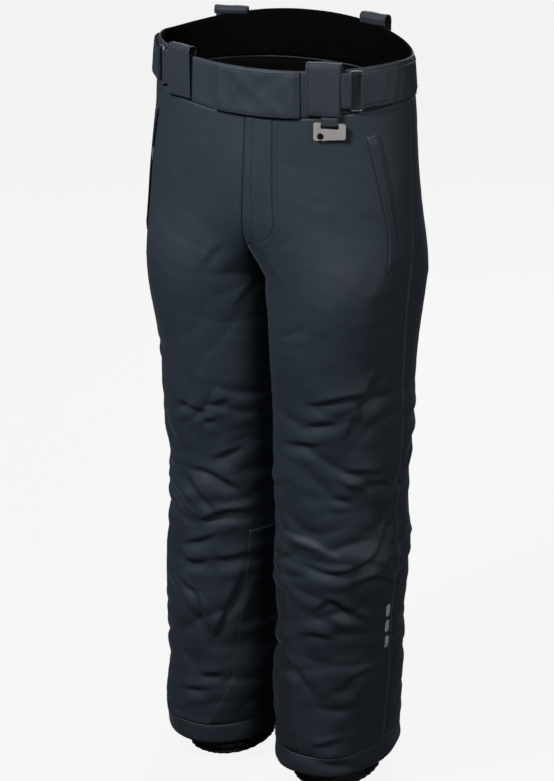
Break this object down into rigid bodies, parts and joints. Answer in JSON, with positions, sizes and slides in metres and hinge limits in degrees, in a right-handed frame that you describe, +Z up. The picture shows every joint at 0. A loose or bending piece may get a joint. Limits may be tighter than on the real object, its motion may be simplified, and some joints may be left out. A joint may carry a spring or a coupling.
{
  "type": "ski pants",
  "caption": "Insulated ski trousers with a folded waist tab, zip fly, slanted hand pockets, strap adjusters at the sides, suspender loops and snow gaiters inside the hems.",
  "frame": {"origin": "on the floor under the middle of the garment's box, level with the lower edges of the two snow gaiters", "axes": "+Z up along the legs, -Y the way the wearer faces, +X the wearer's left"},
  "size_m": [0.3998, 0.2184, 1.0742],
  "materials": {
    "shell": "matte with a faint sheen",
    "trim": "matte",
    "guard": "slightly shiny hard-wearing cloth",
    "lining": "matte black",
    "insulation": "soft batting",
    "gaiter": "thin coated cloth, slightly shiny",
    "elastic": "ribbed matte",
    "webbing": "matte weave",
    "zip_tape": "matte",
    "zip_metal": "dark satin",
    "ring_metal": "dark polished",
    "plate_metal": "brushed"
  },
  "bodies": {
    "pants": {"adjuster_keeper_left": "webbing", "adjuster_keeper_right": "webbing", "adjuster_strap_left": "webbing", "adjuster_strap_right": "webbing", "fly_zip_stop": "zip_metal", "fly_zip_tape_left": "zip_tape", "fly_zip_tape_right": "zip_tape", "gaiter_elastic_left": "elastic", "gaiter_elastic_right": "elastic", "gaiter_left": "gaiter", "gaiter_right": "gaiter", "gaiter_snap_left": "zip_metal", "gaiter_snap_right": "zip_metal", "hem_band_left": "trim", "hem_band_right": "trim", "inner_leg_guard_left": "guard", "inner_leg_guard_right": "guard", "insulation_left": "insulation", "insulation_right": "insulation", "lining_left": "lining", "lining_right": "lining", "pocket_bag_left": "lining", "pocket_bag_right": "lining", "pocket_welt_left": "trim", "pocket_welt_right": "trim", "pocket_zip_front_left": "zip_tape", "pocket_zip_front_right": "zip_tape", "pocket_zip_rear_left": "zip_tape", "pocket_zip_rear_right": "zip_tape", "shell_back_left": "shell", "shell_back_right": "shell", "shell_front_left": "shell", "shell_front_right": "shell", "suspender_loop_front_left": "webbing", "suspender_loop_front_right": "webbing", "suspender_loop_rear_left": "webbing", "suspender_loop_rear_right": "webbing", "ticket_webbing": "webbing", "waist_facing": "lining", "waist_snap_socket": "zip_metal", "waistband_back": "trim", "waistband_front_left": "trim", "waistband_front_right": "trim"},
    "waist_tab": {"waist_tab": "trim", "waist_snap_stud": "zip_metal"},
    "fly_flap": {"fly_flap": "shell"},
    "fly_slider": {"fly_slider": "zip_metal"},
    "fly_pull": {"fly_pull": "zip_metal"},
    "ticket_plate": {"ticket_plate": "plate_metal"},
    "adjuster_ring_left": {"adjuster_ring_left": "ring_metal"},
    "adjuster_strap_end_left": {"adjuster_strap_end_left": "trim", "hook_pad_left": "elastic"},
    "pocket_slider_left": {"pocket_slider_left": "zip_metal"},
    "pocket_pull_left": {"pocket_pull_left": "zip_metal"},
    "adjuster_ring_right": {"adjuster_ring_right": "ring_metal"},
    "adjuster_strap_end_right": {"adjuster_strap_end_right": "trim", "hook_pad_right": "elastic"},
    "pocket_slider_right": {"pocket_slider_right": "zip_metal"},
    "pocket_pull_right": {"pocket_pull_right": "zip_metal"}
  },
  "joints": [
    {"name": "waist_tab_fold", "type": "hinge", "parent": "pants", "child": "waist_tab", "pos_m": [0.08055, -0.09629, 0.9936], "axis": [0, 0, 1], "range_deg": [0, 130]},
    {"name": "fly_flap_fold", "type": "hinge", "parent": "pants", "child": "fly_flap", "pos_m": [0.04301, -0.10349, 0.88], "axis": [-0.051, 0.0637, 0.9967], "range_deg": [0, 90]},
    {"name": "fly_slider_run", "type": "slide", "parent": "pants", "child": "fly_slider", "axis": [0, -0.0539, -0.9985], "range_m": [0, 0.109]},
    {"name": "fly_pull_swing", "type": "hinge", "parent": "fly_slider", "child": "fly_pull", "pos_m": [0.008, -0.09582, 0.94401], "axis": [0, -0.9985, 0.0539], "range_deg": [-25, 25]},
    {"name": "pocket_slider_run_left", "type": "hinge", "parent": "pants", "child": "pocket_slider_left", "pos_m": [-1.51324, 1.20872, 0.67816], "axis": [0.5843, 0.8019, 0.1248], "range_deg": [0, 3.87]},
    {"name": "pocket_pull_swing_left", "type": "hinge", "parent": "pocket_slider_left", "child": "pocket_pull_left", "pos_m": [0.16735, -0.0549, 0.93009], "axis": [0.7936, -0.5967, 0.119], "range_deg": [-12, 12]},
    {"name": "adjuster_ring_turn_left", "type": "hinge", "parent": "pants", "child": "adjuster_ring_left", "pos_m": [0.14405, -0.07485, 1.00298], "axis": [0, 0, -1], "range_deg": [0, 25]},
    {"name": "adjuster_strap_peel_left", "type": "hinge", "parent": "adjuster_ring_left", "child": "adjuster_strap_end_left", "pos_m": [0.15796, -0.06694, 1.00298], "axis": [0, 0, -1], "range_deg": [0, 90]},
    {"name": "pocket_slider_run_right", "type": "hinge", "parent": "pants", "child": "pocket_slider_right", "pos_m": [1.51324, 1.20872, 0.67816], "axis": [0.5843, -0.8019, -0.1248], "range_deg": [0, 3.87]},
    {"name": "pocket_pull_swing_right", "type": "hinge", "parent": "pocket_slider_right", "child": "pocket_pull_right", "pos_m": [-0.16735, -0.0549, 0.93009], "axis": [-0.7936, -0.5967, 0.119], "range_deg": [-12, 12]},
    {"name": "adjuster_ring_turn_right", "type": "hinge", "parent": "pants", "child": "adjuster_ring_right", "pos_m": [-0.14405, -0.07485, 1.00298], "axis": [0, 0, 1], "range_deg": [0, 25]},
    {"name": "adjuster_strap_peel_right", "type": "hinge", "parent": "adjuster_ring_right", "child": "adjuster_strap_end_right", "pos_m": [-0.15796, -0.06694, 1.00298], "axis": [0, 0, 1], "range_deg": [0, 90]},
    {"name": "ticket_plate_swing", "type": "hinge", "parent": "pants", "child": "ticket_plate", "pos_m": [0.12159, -0.08766, 0.96035], "axis": [-0.9458, -0.3247, 0], "range_deg": [0, 45]}
  ]
}
